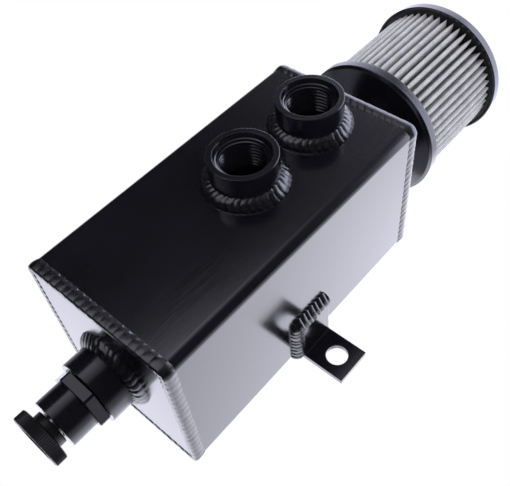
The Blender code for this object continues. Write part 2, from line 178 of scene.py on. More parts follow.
def skin(rings, closed):
    """Join equal rings into one mesh: a closed loop of rings, or else a tube with both ends capped."""
    bm = bmesh.new()
    rows = [[bm.verts.new(point) for point in ring] for ring in rings]
    count = len(rows[0])
    pairs = list(zip(rows, rows[1:]))
    if closed:
        pairs.append((rows[-1], rows[0]))
    for low, high in pairs:
        for k in range(count):
            following = (k + 1) % count
            bm.faces.new((low[k], low[following], high[following], high[k]))
    if not closed:
        bm.faces.new(rows[0][::-1])
        bm.faces.new(rows[-1])
    return bm


def turned(profile, steps, closed=True):
    return skin([circle(radius, height, steps) for radius, height in profile], closed)


def downwards(profile):
    return [(point[0], -point[1], *point[2:]) for point in profile]


def cylinder(radius, start, end, steps=96):
    """A solid cylinder between two points."""
    start, end = Vector(start), Vector(end)
    bm = skin([circle(radius, 0, steps), circle(radius, (end - start).length, steps)], closed=False)
    turn = (end - start).to_track_quat("Z", "Y").to_matrix().to_4x4()
    bmesh.ops.transform(bm, matrix=Matrix.Translation(start) @ turn, verts=bm.verts)
    return bm


def plain_object(name, bm):
    bmesh.ops.scale(bm, vec=(MM, MM, MM), verts=bm.verts)
    bmesh.ops.remove_doubles(bm, verts=bm.verts, dist=1e-8)
    bmesh.ops.recalc_face_normals(bm, faces=bm.faces)
    mesh = bpy.data.meshes.new(name)
    bm.to_mesh(mesh)
    bm.free()
    made = bpy.data.objects.new(name, mesh)
    bpy.context.scene.collection.objects.link(made)
    return made


def piece(name, bm, body, look, node, place=(0, 0, 0), turn=(0, 0, 0), edge=0.0, holes=(), sharp=32):
    """A finished part: cut, bevelled, shaded and put in place of its CAD node."""
    made = plain_object(name, bm)
    tools = [plain_object(name + "_tool", hole) for hole in holes]
    for tool in tools:
        modifier = made.modifiers.new("cut", "BOOLEAN")
        modifier.solver = "EXACT"
        modifier.object = tool
    if edge:
        modifier = made.modifiers.new("edge", "BEVEL")
        modifier.width = edge * MM
        modifier.segments = 3
        modifier.limit_method = "ANGLE"
        modifier.angle_limit = math.radians(28)
    bpy.context.view_layer.update()
    seen = made.evaluated_get(bpy.context.evaluated_depsgraph_get())
    rough_mesh = made.data
    made.data = bpy.data.meshes.new_from_object(seen)
    made.modifiers.clear()
    bpy.data.meshes.remove(rough_mesh)
    for tool in tools:
        tool_mesh = tool.data
        bpy.data.objects.remove(tool)
        bpy.data.meshes.remove(tool_mesh)
    made.data.name = name
    made.data.shade_smooth()
    made.data.set_sharp_from_angle(angle=math.radians(sharp))
    modifier = made.modifiers.new("shading", "WEIGHTED_NORMAL")
    modifier.keep_sharp = True
    made.data.materials.clear()
    made.data.materials.append(look)
    made.location = TANK_AXIS + Vector(place) * MM
    made.rotation_euler = turn
    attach(made, body)
    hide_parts(node)
    return made


# ---------------------------------------------------------------- weld beads

def ripple(turns):
    """Height of a bead's ripples, 0 to 1: round crests and narrow grooves."""
    return abs(math.sin(math.pi * turns)) ** 0.6


def bead(frames, section, pitch, depth, seed, bow=0.42, wander=0.16):
    """Sweep a bead's section along frames of (point, outward, upward, arc length).

    The section is a list of (out, up) whose first and last points are the toes of the bead; the
    ripples bow along the bead between the toes. Each vertex keeps its ripple height for the painted
    shade that the weld look puts in the grooves.
    """
    bm = bmesh.new()
    groove = bm.verts.layers.float.new("ripple")
    last = len(section) - 1
    total = frames[-1][3]
    count = max(1, round(total / pitch))
    rows = []
    for point, outward, upward, length in frames:
        row = []
        for index, (out, up) in enumerate(section):
            across = 2 * index / last - 1
            before = Vector(section[max(index - 1, 0)])
            after = Vector(section[min(index + 1, last)])
            normal = Vector((after[1] - before[1], before[0] - after[0])).normalized()
            if normal.dot(Vector((out, up)) - Vector(section[0]).lerp(Vector(section[-1]), 0.5)) < 0:
                normal = -normal
            drift = 0.3 * noise.noise(Vector((length / pitch, seed * 7.3, 0)) * 0.7)
            turns = count * length / total + bow * (1 - across * across) + drift
            body = 1 - across ** 4
            height = ripple(turns)
            around = Vector((math.cos(length * 0.11), math.sin(length * 0.11), across))
            uneven = wander * noise.noise(around * 3)
            lift = depth * (height - 0.75) * body + uneven * body
            toe = 0.5 * (1 - body) * (height - 0.6)
            spread = Vector((out, up)) + normal * (lift + toe)
            vertex = bm.verts.new(point + outward * spread[0] + upward * spread[1])
            # ripple height kept for the weld look, which paints shade into the grooves from it
            vertex[groove] = height * body + (1 - body) * 0.4
            row.append(vertex)
        rows.append(row)
    for near, far in zip(rows, rows[1:]):
        for k in range(last):
            bm.faces.new((near[k], near[k + 1], far[k + 1], far[k]))
        bm.faces.new((near[last], near[0], far[0], far[last]))
    bm.faces.new(rows[0][::-1])
    bm.faces.new(rows[-1])
    return bm


def arc_section(start, end, bulge, steps=12):
    """Points of a bead's crown from toe to toe, bulging by a share of the distance between them."""
    start, end = Vector(start), Vector(end)
    across = end - start
    side = Vector((across[1], -across[0])) * bulge
    points = []
    for step in range(steps + 1):
        share = step / steps
        points.append(tuple(start + across * share + side * (1 - (2 * share - 1) ** 2)))
    return points


def seam_frames(spacing=0.34):
    """Frames all round the tank's outline: a point on its face, the way out, up, and the length so far."""
    up = Vector((0, 0, 1))
    reach = HALF - CORNER_RADIUS
    frames = []
    length = 0.0
    straight = max(2, round(2 * reach / spacing))
    turn = round(CORNER_RADIUS * math.pi / 2 / spacing)
    for corner in range(4):
        begin = math.radians(90 * corner)
        centre = Vector((
            math.copysign(reach, math.cos(begin + math.pi / 4)),
            math.copysign(reach, math.sin(begin + math.pi / 4)),
            0,
        ))
        for step in range(turn):
            angle = begin + math.pi / 2 * step / turn
            out = Vector((math.cos(angle), math.sin(angle), 0))
            frames.append((centre + out * CORNER_RADIUS, out, up, length))
            length += CORNER_RADIUS * math.pi / 2 / turn
        out = Vector((math.cos(begin + math.pi / 2), math.sin(begin + math.pi / 2), 0))
        along = Vector((-out.y, out.x, 0))
        for step in range(straight):
            passed = along * (2 * reach * step / straight)
            frames.append((centre + out * CORNER_RADIUS + passed, out, up, length))
            length += 2 * reach / straight
    return frames, length


def seam_bead(name, end_z, inward, seed, look):
    """Bead round one end of the tank, wrapped from the side face over the edge to the end face."""
    frames, total = seam_frames()
    crown = [
        (-0.3, 5.45), (0.06, 5.3), (0.24, 4.7), (0.42, 4.0), (0.55, 3.2), (0.62, 2.3), (0.56, 1.2),
        (0.3, 0.25), (-0.2, -0.2), (-0.9, -0.34), (-1.7, -0.38), (-2.4, -0.34), (-2.9, -0.25),
        (-3.3, -0.1), (-3.6, 0.3),
    ]
    section = [(out, inward * depth) for out, depth in crown]
    placed = [(point + Vector((0, 0, end_z)), out, up, length) for point, out, up, length in frames]
    placed.append((placed[0][0], placed[0][1], placed[0][2], total))
    bm = bead(placed, section, 3.8, 0.1, seed, wander=0.08)
    piece(name, bm, "tank", look, name, sharp=34)


def ring_bead(name, foot, look, seed, place, turn, steps=336):
    """Fillet bead round the foot of a bung."""
    frames = []
    for step in range(steps + 1):
        angle = 2 * math.pi * step / steps
        out = Vector((math.cos(angle), math.sin(angle), 0))
        frames.append((out * BUNG_RADIUS, out, Vector((0, 0, 1)), foot * 2 * math.pi * step / steps))
    section = arc_section((-0.5, 4.5), (4.3, -0.35), -0.17)
    bm = bead(frames, section, 3.1, 0.24, seed)
    piece(name, bm, "tank", look, name, place, turn, sharp=70)


def bracket_bead(name, side, look, seed, spacing=0.3):
    """Bead along the drain side and the top edge of a bracket's leg."""
    up = Vector((side, 0, 0))
    wall = side * HALF
    corner = Vector((wall, BRACKET_FRONT + 0.1, BRACKET_LOW + 0.1))
    foot = Vector((wall, HALF - 1.6, BRACKET_LOW + 0.1))
    end = Vector((wall, BRACKET_FRONT + 0.1, BRACKET_HIGH + 0.6))
    frames = []
    length = 0.0
    steps = round((foot - corner).length / spacing)
    for step in range(steps):
        frames.append((foot.lerp(corner, step / steps), Vector((0, 0, -1)), up, length))
        length += spacing
    for step in range(12):
        angle = math.pi / 2 * step / 12
        frames.append((corner, Vector((0, -math.sin(angle), -math.cos(angle))), up, length))
        length += 0.35
    steps = round((end - corner).length / spacing)
    for step in range(steps + 1):
        frames.append((corner.lerp(end, step / steps), Vector((0, -1, 0)), up, length))
        length += spacing
    section = arc_section((-0.6, 3.5), (5.3, -0.5), -0.2)
    bm = bead(frames, section, 2.9, 0.45, seed)
    piece(name, bm, "tank", look, name, sharp=70)


# ---------------------------------------------------------------- materials

DEEP_BLACK = (0.0022, 0.0021, 0.0036)
SOFT_BLACK = (0.0044, 0.0042, 0.0068)
WIRE_PITCH = 0.62


class Look:
    """A procedural material: values set on the shader's own sockets, and nodes linked into it."""

    def __init__(self, name, **values):
        self.material = bpy.data.materials.new(name)
        self.material.use_nodes = True
        self.nodes = self.material.node_tree.nodes
        self.links = self.material.node_tree.links
        self.shader = self.nodes["Principled BSDF"]
        for socket, value in values.items():
            self.shader.inputs[socket.replace("_", " ")].default_value = value

    def add(self, kind, inputs=(), **settings):
        made = self.nodes.new("ShaderNode" + kind)
        for key, value in settings.items():
            setattr(made, key, value)
        for key, value in dict(inputs).items():
            if isinstance(value, bpy.types.NodeSocket):
                self.links.new(value, made.inputs[key])
            else:
                made.inputs[key].default_value = value
        return made

    def maths(self, operation, first, second=0.0):
        return self.add("Math", {0: first, 1: second}, operation=operation).outputs[0]

    def into(self, socket, output):
        self.links.new(output, self.shader.inputs[socket])

    def place(self, scale=(1, 1, 1)):
        coordinates = self.add("TexCoord").outputs["Object"]
        return self.add("Mapping", {"Vector": coordinates, "Scale": scale}).outputs["Vector"]

    def turned_place(self, scale):
        """Coordinates that run with radius and height only, for marks left by a lathe."""
        split = self.add("SeparateXYZ", {"Vector": self.add("TexCoord").outputs["Object"]}).outputs
        squares = [self.maths("MULTIPLY", split[axis], split[axis]) for axis in (0, 1)]
        radius = self.maths("POWER", self.maths("ADD", *squares), 0.5)
        joined = self.add("CombineXYZ", {"X": radius, "Y": split[2]}).outputs[0]
        return self.add("VectorMath", {0: joined, "Scale": scale}, operation="SCALE").outputs[0]

    def noise(self, vector, scale, detail=4.0, rough=0.55):
        values = {"Vector": vector, "Scale": scale, "Detail": detail, "Roughness": rough}
        return self.add("TexNoise", values).outputs["Fac"]

    def range(self, value, low, high, start=0.3, end=0.7):
        values = {"Value": value, "From Min": start, "From Max": end, "To Min": low, "To Max": high}
        return self.add("MapRange", values).outputs["Result"]

    def blend(self, value, low, high, start=0.3, end=0.7):
        ramp = self.add("ValToRGB", {"Fac": value})
        ramp.color_ramp.elements[0].position = start
        ramp.color_ramp.elements[0].color = (*low, 1)
        ramp.color_ramp.elements[1].position = end
        ramp.color_ramp.elements[1].color = (*high, 1)
        return ramp.outputs["Color"]

    def bump(self, height, strength, distance):
        values = {"Height": height, "Strength": strength, "Distance": distance}
        self.into("Normal", self.add("Bump", values).outputs["Normal"])


def anodised(name, roughness, dark=DEEP_BLACK, light=SOFT_BLACK, lathe=False, ior=1.95):
    """Black anodised aluminium: a hard, clear, slightly violet black with a fine satin grain."""
    look = Look(name, IOR=ior, Metallic=0.0)
    cloud = look.noise(look.place(), 38.0, 5.0)
    look.into("Base Color", look.blend(cloud, dark, light))
    if lathe:
        grain = look.noise(look.turned_place(1.0), 1500.0, 2.0)
        strength = 0.10
    else:
        grain = look.noise(look.place((9.0, 9.0, 0.35)), 240.0, 3.0)
        strength = 0.035
    speck = look.noise(look.place(), 2600.0, 2.0)
    mixed = look.maths("ADD", grain, look.range(speck, -0.12, 0.12))
    look.into("Roughness", look.range(mixed, roughness * 0.82, roughness * 1.25))
    look.bump(mixed, strength, 0.00025)
    return look.material


def welded(name):
    """Anodised weld metal: black and glossy, with painted shade: darker in the grooves between its ripples
    and a little greyer on their crests.
    """
    look = Look(name, Metallic=0.0, IOR=1.95)
    groove = look.add("Attribute", attribute_name="ripple").outputs["Fac"]
    cloud = look.noise(look.place(), 420.0, 4.0)
    mixed = look.maths("ADD", groove, look.range(cloud, -0.22, 0.22))
    # painted shade: darker in the ripple grooves and greyer on the crests, with random tone from the cloud
    look.into("Base Color", look.blend(mixed, (0.0012, 0.0012, 0.002), (0.0045, 0.0043, 0.0062), 0.3, 0.95))
    look.into("Roughness", look.range(cloud, 0.18, 0.34))
    look.bump(look.noise(look.place(), 1500.0, 3.0), 0.08, 0.0003)
    return look.material


def gauze(name):
    """Woven stainless gauze: fine wires over and under, with a slanting twill. Its colour is a painted
    highlight on the wire tops and along the slant, and painted shade where the wires dip.
    """
    look = Look(name, Metallic=0.12, IOR=1.5)
    across = look.add("SeparateXYZ", {"Vector": look.add("UVMap", uv_map="weave").outputs["UV"]}).outputs

    def wave(value, pitch):
        return look.maths("SINE", look.maths("MULTIPLY", value, 2 * math.pi / pitch))

    crossed = look.maths("MULTIPLY", wave(across[0], WIRE_PITCH), wave(across[1], WIRE_PITCH))
    slant = look.maths("ADD", across[0], across[1])
    twill = look.maths("MULTIPLY", wave(slant, 2 * WIRE_PITCH), 0.35)
    height = look.maths("ADD", crossed, twill)
    cloud = look.noise(look.place(), 160.0, 4.0)
    # painted highlight and shade from the weave's height, mixed with random tone from the cloud
    painted_weave_light_and_tone = look.range(look.maths("ADD", height, look.range(cloud, -0.5, 0.5)), 0.0, 1.0, -1.4, 1.4)
    look.into("Base Color", look.blend(painted_weave_light_and_tone, (0.25, 0.25, 0.262), (0.54, 0.54, 0.555), 0.1, 0.8))
    look.into("Roughness", look.range(cloud, 0.36, 0.5))
    look.bump(height, 0.35, 0.00012)
    return look.material


def bare_metal(name, dark, light, roughness, lathe=True):
    """Machined metal with fine tool marks."""
    look = Look(name, Metallic=1.0)
    marks = look.noise(look.turned_place(1.0) if lathe else look.place((1, 1, 12)), 1900.0, 3.0)
    cloud = look.noise(look.place(), 70.0, 4.0)
    look.into("Base Color", look.blend(cloud, dark, light))
    look.into("Roughness", look.range(marks, roughness * 0.8, roughness * 1.3))
    look.bump(marks, 0.18, 0.0002)
    return look.material


def moulded(name, dark, light, roughness, scale, strength):
    """Rubber or cast resin: nearly even, with a fine uneven skin."""
    look = Look(name, IOR=1.5)
    cloud = look.noise(look.place(), scale, 5.0)
    look.into("Base Color", look.blend(cloud, dark, light))
    look.into("Roughness", look.range(cloud, roughness * 0.85, roughness * 1.15))
    look.bump(look.noise(look.place(), scale * 6, 3.0), strength, 0.0003)
    return look.material


# ---------------------------------------------------------------- parts of the object

def make_tank(look, plate_look, weld_look):
    """Square tube with rounded corners, its two end faces and their seam beads."""
    outline = filleted([
        (1.4, 3.2), (0.0, 4.7), (0.0, LENGTH - 4.7), (1.4, LENGTH - 3.2), (WALL, LENGTH - 3.4), (WALL, 3.4),
    ])
    tube = skin([rounded_square(inset, z) for inset, z in outline], closed=True)
    holes = [
        cylinder(THREAD_MINOR + 2.9, (0, -HALF - 6, height), (0, -HALF + 2 * WALL, height))
        for height in PORT_HEIGHTS
    ]
    piece("tank_skin", tube, "tank", look, "tank_shell", holes=holes, sharp=40)
    for name, outer, inner in (("drain_end", 0.0, WALL), ("filter_end", LENGTH, LENGTH - WALL)):
        plate = skin([rounded_square(PLATE_INSET, z) for z in (outer, inner)], closed=False)
        hole = cylinder(PLATE_HOLE, (0, 0, inner - 4), (0, 0, inner + 4))
        piece(name + "_face", plate, "tank", plate_look, name + "_plate", holes=[hole])
    seam_bead("drain_end_weld", 0.0, 1, 1, weld_look)
    seam_bead("filter_end_weld", LENGTH, -1, 2, weld_look)


def thread_rings(top, bottom, steps, rows_per_turn=10):
    """Rings of a threaded bore from top down to bottom; the thread fades in at both ends."""
    rows = round((top - bottom) / THREAD_PITCH * rows_per_turn)
    rings = []
    for row in range(rows + 1):
        z = top + (bottom - top) * row / rows
        fade = min(1.0, (top - z) / THREAD_PITCH * 1.2, (z - bottom) / THREAD_PITCH * 1.2)
        ring = []
        for k in range(steps):
            angle = 2 * math.pi * k / steps
            turns = z / THREAD_PITCH + k / steps
            crest = abs(2 * (turns - math.floor(turns)) - 1)
            radius = THREAD_MINOR + THREAD_DEPTH * max(0.0, min(1.0, 1.25 * crest - 0.12)) * fade
            ring.append((radius * math.cos(angle), radius * math.sin(angle), z))
        rings.append(ring)
    return rings


def make_bung(name, look, weld_look, seed, place, turn, threaded):
    """Turned boss: rolled outer edge, lip, stepped mouth for an O-ring, and a thread down the bore."""
    foot = 10.9 if threaded else THREAD_MINOR
    outside = filleted([
        (foot, -WALL), (13.0, -WALL), (13.0, -0.2), (BUNG_RADIUS, -0.2), (BUNG_RADIUS, BUNG_HEIGHT, 0.3),
        (12.75, BUNG_HEIGHT, 0.15), (11.75, BUNG_HEIGHT - 2.1), (11.25, BUNG_HEIGHT - 2.3),
        (10.75, BUNG_HEIGHT - 3.3),
    ])
    rings = [circle(radius, height, BUNG_STEPS) for radius, height in outside]
    if threaded:
        rings += thread_rings(BUNG_HEIGHT - 3.4, -WALL, BUNG_STEPS)
    else:
        rings.append(circle(THREAD_MINOR, BUNG_HEIGHT - 3.9, BUNG_STEPS))
    boss = skin(rings, closed=True)
    piece(name + "_boss", boss, "tank", look, name, place, turn, sharp=38)
    ring_bead(name + "_weld", BUNG_RADIUS + 2.2, weld_look, seed, place, turn)


def make_bracket(name, side, look, weld_look, seed):
    """Bent angle bracket with softened edges, a bolt hole and its bead."""
    near, far = BRACKET_NEAR - 0.3, BRACKET_FAR
    back, front = BRACKET_BACK, BRACKET_FRONT
    outline = filleted([
        (near, front), (near, back, 3.4), (far, back), (far, back - BRACKET_THICKNESS),
        (near + BRACKET_THICKNESS, back - BRACKET_THICKNESS, 0.9), (near + BRACKET_THICKNESS, front),
    ], steps=8)
    rings = [[(side * x, y, z) for x, y in outline] for z in (BRACKET_LOW, BRACKET_HIGH)]
    middle = (BRACKET_LOW + BRACKET_HIGH) / 2
    across = side * BOLT_REACH
    hole = cylinder(BOLT_RADIUS, (across, back - 10, middle), (across, back + 5, middle), 64)
    made = skin(rings, closed=False)
    piece(name + "_angle", made, "tank", look, name, edge=0.35, holes=[hole])
    bracket_bead(name + "_weld", side, weld_look, seed)


def hexagon(flat, limit, z, steps):
    """Hexagon with a given distance to its flats, its corners turned down to a radius."""
    points = []
    for k in range(steps):
        angle = 2 * math.pi * k / steps
        from_flat = (angle % (math.pi / 3)) - math.pi / 6
        radius = min(flat / math.cos(from_flat), limit)
        points.append((radius * math.cos(angle), radius * math.sin(angle), z))
    return points


def make_valve(look):
    """Valve body with its hexagon."""
    steps = 144
    corner = HEX_FLATS / 2 / math.cos(math.pi / 6)
    flat = HEX_FLATS / 2
    bore = STEM_RADIUS + 0.6
    shank, groove, inlet = 9.85, 8.85, 3.2
    head = ((inlet, 2), (shank, 2), (shank, 12.7), (groove, 12.9), (groove, HEX_START))
    rings = [circle(radius, -depth, steps) for radius, depth in head]
    break_edge = 0.3
    rings += [
        hexagon(flat - break_edge, corner - 2 * break_edge, -HEX_START, steps),
        hexagon(flat, corner - break_edge, -HEX_START - break_edge, steps),
        hexagon(flat, corner - break_edge, -HEX_END + break_edge, steps),
        hexagon(flat - break_edge, corner - 2 * break_edge, -HEX_END, steps),
    ]
    tail = filleted(downwards([
        (VALVE_RADIUS, HEX_END), (VALVE_RADIUS, VALVE_END, 0.5), (bore + 0.5, VALVE_END, 0.2),
        (bore, VALVE_END - 1.2), (bore, 19.0), (7.2, 17.5), (7.2, 5.0), (inlet, 5.0),
    ]))
    rings += [circle(radius, height, steps) for radius, height in tail]
    valve, turn = skin(rings, closed=True), (0, 0, HEX_TURN)
    piece("drain_valve", valve, "tank", look, "drain_valve_body", turn=turn, sharp=24)


def make_knob(look):
    """Round knob with a finely knurled rim and a hub."""
    steps = KNURLS * 4
    inner = STEM_RADIUS + 0.3
    hub = 8.0

    def rim(radius, depth, cut):
        points = []
        for k in range(steps):
            angle = 2 * math.pi * k / steps
            reach = radius - cut * (1, 0.5, 0, 0.5)[k % 4]
            points.append((reach * math.cos(angle), reach * math.sin(angle), -depth))
        return points

    neck = (
        (inner, VALVE_END + 0.6), (hub - 0.5, VALVE_END + 0.6), (hub - 0.15, VALVE_END + 0.75),
        (hub, VALVE_END + 1.1), (hub, KNOB_START - 0.5), (hub + 0.5, KNOB_START),
    )
    rings = [circle(radius, -depth, steps) for radius, depth in neck]
    rings += [rim(KNOB_RADIUS - 0.5, KNOB_START, 0.0), rim(KNOB_RADIUS - 0.12, KNOB_START + 0.3, 0.12)]
    rings += [rim(KNOB_RADIUS, KNOB_START + 0.6, 0.26), rim(KNOB_RADIUS, KNOB_END - 0.6, 0.26)]
    rings += [rim(KNOB_RADIUS - 0.12, KNOB_END - 0.3, 0.12), rim(KNOB_RADIUS - 0.5, KNOB_END, 0.0)]
    rings += [circle(hub + 1.2, -KNOB_END, steps), circle(hub + 1.0, -(KNOB_END - 0.15), steps)]
    rings += [circle(hub, -(KNOB_END - 0.8), steps), circle(inner, -(KNOB_END - 0.8), steps)]
    knob = skin(rings, closed=True)
    piece("drain_knob_knurled", knob, "drain_handle", look, "drain_knob", sharp=30)


def make_filter(look, gauze_look):
    """Turned caps with rolled rims, and the pleated gauze between them."""
    inner = CAP_RADIUS - 1.3
    seat = BASE_LOW
    rim_low, rim_high = 179.3, BASE_HIGH
    base = filleted([
        (10.15, seat), (14.6, seat, 0.3), (16.4, seat + 1.2, 1.5), (CAP_RADIUS - 1.4, rim_low - 0.75, 1.2),
        (CAP_RADIUS, rim_low + 0.3, 0.5), (CAP_RADIUS, rim_high, 0.45), (inner, rim_high, 0.3),
        (inner, 181.4), (13.4, 177.2), (10.15, 177.2),
    ])
    body, slot = "breather_filter", "black_anodised"
    piece("filter_base_turned", turned(base, CAP_STEPS), body, look, "filter_base_cap", sharp=38)
    ceiling = TOP_HIGH - 2.0
    top = filleted([
        (0.4, ceiling), (inner, ceiling), (inner, TOP_LOW, 0.3), (CAP_RADIUS, TOP_LOW, 0.45),
        (CAP_RADIUS, TOP_HIGH, 0.8), (30.4, TOP_HIGH, 0.3), (29.4, TOP_HIGH - 0.6, 0.5),
        (0.4, TOP_HIGH - 0.6),
    ])
    lid = turned(top, CAP_STEPS, closed=False)
    piece("filter_top_turned", lid, body, look, "filter_top_cap", sharp=38)
    make_pleats(gauze_look)


def pleat_outline(fold=7):
    """Points round the folded sheet: the number of the pleat, the radius and the angle of each."""
    outline = []
    half_pitch = math.pi / PLEATS
    outer_third = (MEDIA_OUTER * 2 + MEDIA_INNER) / 3
    inner_third = (MEDIA_OUTER + MEDIA_INNER * 2) / 3
    outwards = (MEDIA_OUTER, 0.0, 1, 1.2, ((outer_third, 0.64), (inner_third, 0.69)))
    inwards = (MEDIA_INNER, 0.5, -1, 0.42, ((inner_third, 0.31), (outer_third, 0.36)))
    for pleat in range(PLEATS):
        for radius, share, direction, bend, flank in (outwards, inwards):
            middle = 2 * math.pi * (pleat + share) / PLEATS
            for step in range(fold):
                angle = math.pi * (step / (fold - 1) - 0.5)
                out = radius - direction * bend + direction * bend * math.cos(angle)
                outline.append((pleat, out, middle + bend * math.sin(angle) / radius))
            for out, passed in flank:
                outline.append((pleat, out, middle + half_pitch * passed))
    return outline


def make_pleats(look, rows=26):
    """One sheet of gauze folded into deep pleats, which narrow to points where the caps hold them."""
    outline = pleat_outline()
    sheet = 0.22
    pitch = 2 * math.pi / PLEATS
    bm = bmesh.new()
    uv = bm.loops.layers.uv.new("weave")
    lengths = [0.0]
    flat = [(r * math.cos(a), r * math.sin(a)) for _, r, a in outline]
    for index in range(len(flat)):
        lengths.append(lengths[-1] + math.dist(flat[index], flat[(index + 1) % len(flat)]))
    layers = []
    for inset in (0.0, sheet):
        grid = []
        for row in range(rows + 1):
            z = MEDIA_LOW + (MEDIA_HIGH - MEDIA_LOW) * row / rows
            held = math.sqrt(max(0.0, math.sin(math.pi * row / rows)))
            line = []
            held_down = min(1.0, (z - MEDIA_LOW) / 9, (MEDIA_HIGH - z) / 9)
            pinch = 0.3 + 0.7 * held_down * (2 - held_down)
            for pleat, radius, angle in outline:
                crest = round(angle / pitch) * pitch
                sway = 0.0035 * noise.noise(Vector((pleat * 3.1, z * 0.035, 0.5))) * held
                swell = 0.10 * noise.noise(Vector((pleat * 1.7, z * 0.05, 9.5))) * held
                depth = (radius - MEDIA_INNER) / (MEDIA_OUTER - MEDIA_INNER)
                reach = radius - inset + (swell - 0.4 * (1 - pinch)) * depth
                turn = crest + (angle - crest) * (1 - (1 - pinch) * depth) + sway
                line.append(bm.verts.new((reach * math.cos(turn), reach * math.sin(turn), z)))
            grid.append(line)
        layers.append(grid)
    count = len(outline)

    def patch(corners, marks):
        face = bm.faces.new(corners)
        for loop, (along, height) in zip(face.loops, marks):
            loop[uv].uv = (along, height)

    height = (MEDIA_HIGH - MEDIA_LOW) / rows
    for side, grid in enumerate(layers):
        for row in range(rows):
            for k in range(count):
                n = (k + 1) % count
                corners = [grid[row][k], grid[row][n], grid[row + 1][n], grid[row + 1][k]]
                near, far = lengths[k], lengths[k + 1]
                low, high = row * height, (row + 1) * height
                marks = [(near, low), (far, low), (far, high), (near, high)]
                if side:
                    corners, marks = corners[::-1], marks[::-1]
                patch(corners, marks)
    for row, flip in ((0, False), (rows, True)):
        for k in range(count):
            n = (k + 1) % count
            corners = [layers[1][row][k], layers[1][row][n], layers[0][row][n], layers[0][row][k]]
            near, far = lengths[k], lengths[k + 1]
            marks = [(near, 0), (far, 0), (far, sheet), (near, sheet)]
            if flip:
                corners, marks = corners[::-1], marks[::-1]
            patch(corners, marks)
    piece("filter_pleats", bm, "breather_filter", look, "filter_media", sharp=60)


def make_seal(name, node, size, body, look):
    """Round-section rubber ring."""
    radius, thickness, z = size
    section = 16
    profile = []
    for k in range(section):
        angle = 2 * math.pi * k / section
        profile.append((radius + thickness * math.cos(angle), z + thickness * math.sin(angle)))
    piece(name, turned(profile, 96), body, look, node, sharp=80)


def wear(node, look):
    """Give a CAD node, whose shape is already right, its finished material."""
    for slot in bpy.data.objects[node].material_slots:
        slot.material = look


# ---------------------------------------------------------------- studio

# floor, in metres: its depth below the part, and half its side
FLOOR_DROP = 0.32
FLOOR_REACH = 4.0

# camera, in millimetres of the tank's frame, fitted to the photo
CAMERA_PLACE = Vector((150.7, -248.8, -51.05))
CAMERA_AIM = Vector((1.79, 1.06, 86.28))
CAMERA_ROLL = math.radians(46.695)
CAMERA_LENS = 48.246


def make_world():
    """White studio. The camera sees plain white. Polished faces reflect a dark front with one slanted
    strip light, walls behind that brighten away from the horizon, and a panel overhead."""
    world = bpy.data.worlds.new("studio")
    bpy.context.scene.world = world
    world.use_nodes = True
    nodes, links = world.node_tree.nodes, world.node_tree.links
    nodes.clear()

    def add(kind, inputs=(), **settings):
        made = nodes.new("ShaderNode" + kind)
        for key, value in settings.items():
            setattr(made, key, value)
        for key, value in dict(inputs).items():
            if isinstance(value, bpy.types.NodeSocket):
                links.new(value, made.inputs[key])
            else:
                made.inputs[key].default_value = value
        return made

    def maths(operation, a, b=0.0):
        return add("Math", {0: a, 1: b}, operation=operation).outputs[0]

    def ease(value, start, end):
        values = {"Value": value, "From Min": start, "From Max": end, "To Min": 0.0, "To Max": 1.0}
        return add("MapRange", values, interpolation_type="SMOOTHSTEP").outputs["Result"]

    way = add("SeparateXYZ", {"Vector": add("TexCoord").outputs["Generated"]}).outputs
    height = maths("ABSOLUTE", way["Z"])
    aside = maths("ABSOLUTE", way["X"])
    near_wall = maths("MULTIPLY", ease(way["Y"], -0.05, 0.4), 0.3)
    far_wall = maths("MULTIPLY", ease(way["Y"], 0.4, 0.8), 0.7)
    wall_light = maths("ADD", maths("MULTIPLY", height, 2.2), 1.6)
    level = maths("MULTIPLY", wall_light, ease(way["Z"], -0.75, -0.4))
    behind = maths("MULTIPLY", maths("ADD", near_wall, far_wall), level)
    edge = maths("ADD", way["Z"], maths("MULTIPLY", maths("SUBTRACT", aside, 0.45), 0.15))
    overhead = ease(edge, 0.66, 0.71)
    walls = maths("MAXIMUM", behind, maths("MULTIPLY", overhead, 3.0))
    fade = maths("MAXIMUM", maths("SUBTRACT", 0.4, maths("MULTIPLY", way["X"], 1.3)), 0.0)
    slant = maths("SUBTRACT", 0.19, maths("MULTIPLY", way["Z"], 0.25))
    off_middle = maths("ABSOLUTE", maths("ADD", way["X"], slant))
    strip = maths("MULTIPLY", ease(off_middle, 0.37, 0.32), ease(way["Y"], -0.5, -0.7))
    strip = maths("MULTIPLY", maths("MULTIPLY", strip, fade), ease(way["Z"], 0.62, 0.2))
    glow = maths("ADD", maths("MULTIPLY", ease(way["Z"], 0.42, 0.66), 0.13), 0.02)
    reflected = maths("ADD", maths("ADD", walls, strip), glow)
    path = add("LightPath").outputs
    tint = add("MixRGB", {"Fac": overhead, "Color1": (0.87, 0.865, 1.0, 1), "Color2": (0.76, 0.78, 1.0, 1)})
    white = add("Background", {"Color": (1, 1, 1, 1), "Strength": 1.0})
    even = add("Background", {"Color": (0.96, 0.96, 1.0, 1), "Strength": 0.9})
    shine = add("Background", {"Color": tint.outputs[0], "Strength": reflected})
    lit = add("MixShader", {"Fac": path["Is Glossy Ray"], 1: even.outputs[0], 2: shine.outputs[0]})
    seen = add("MixShader", {"Fac": path["Is Camera Ray"], 1: lit.outputs[0], 2: white.outputs[0]})
    add("OutputWorld", {"Surface": seen.outputs[0]})


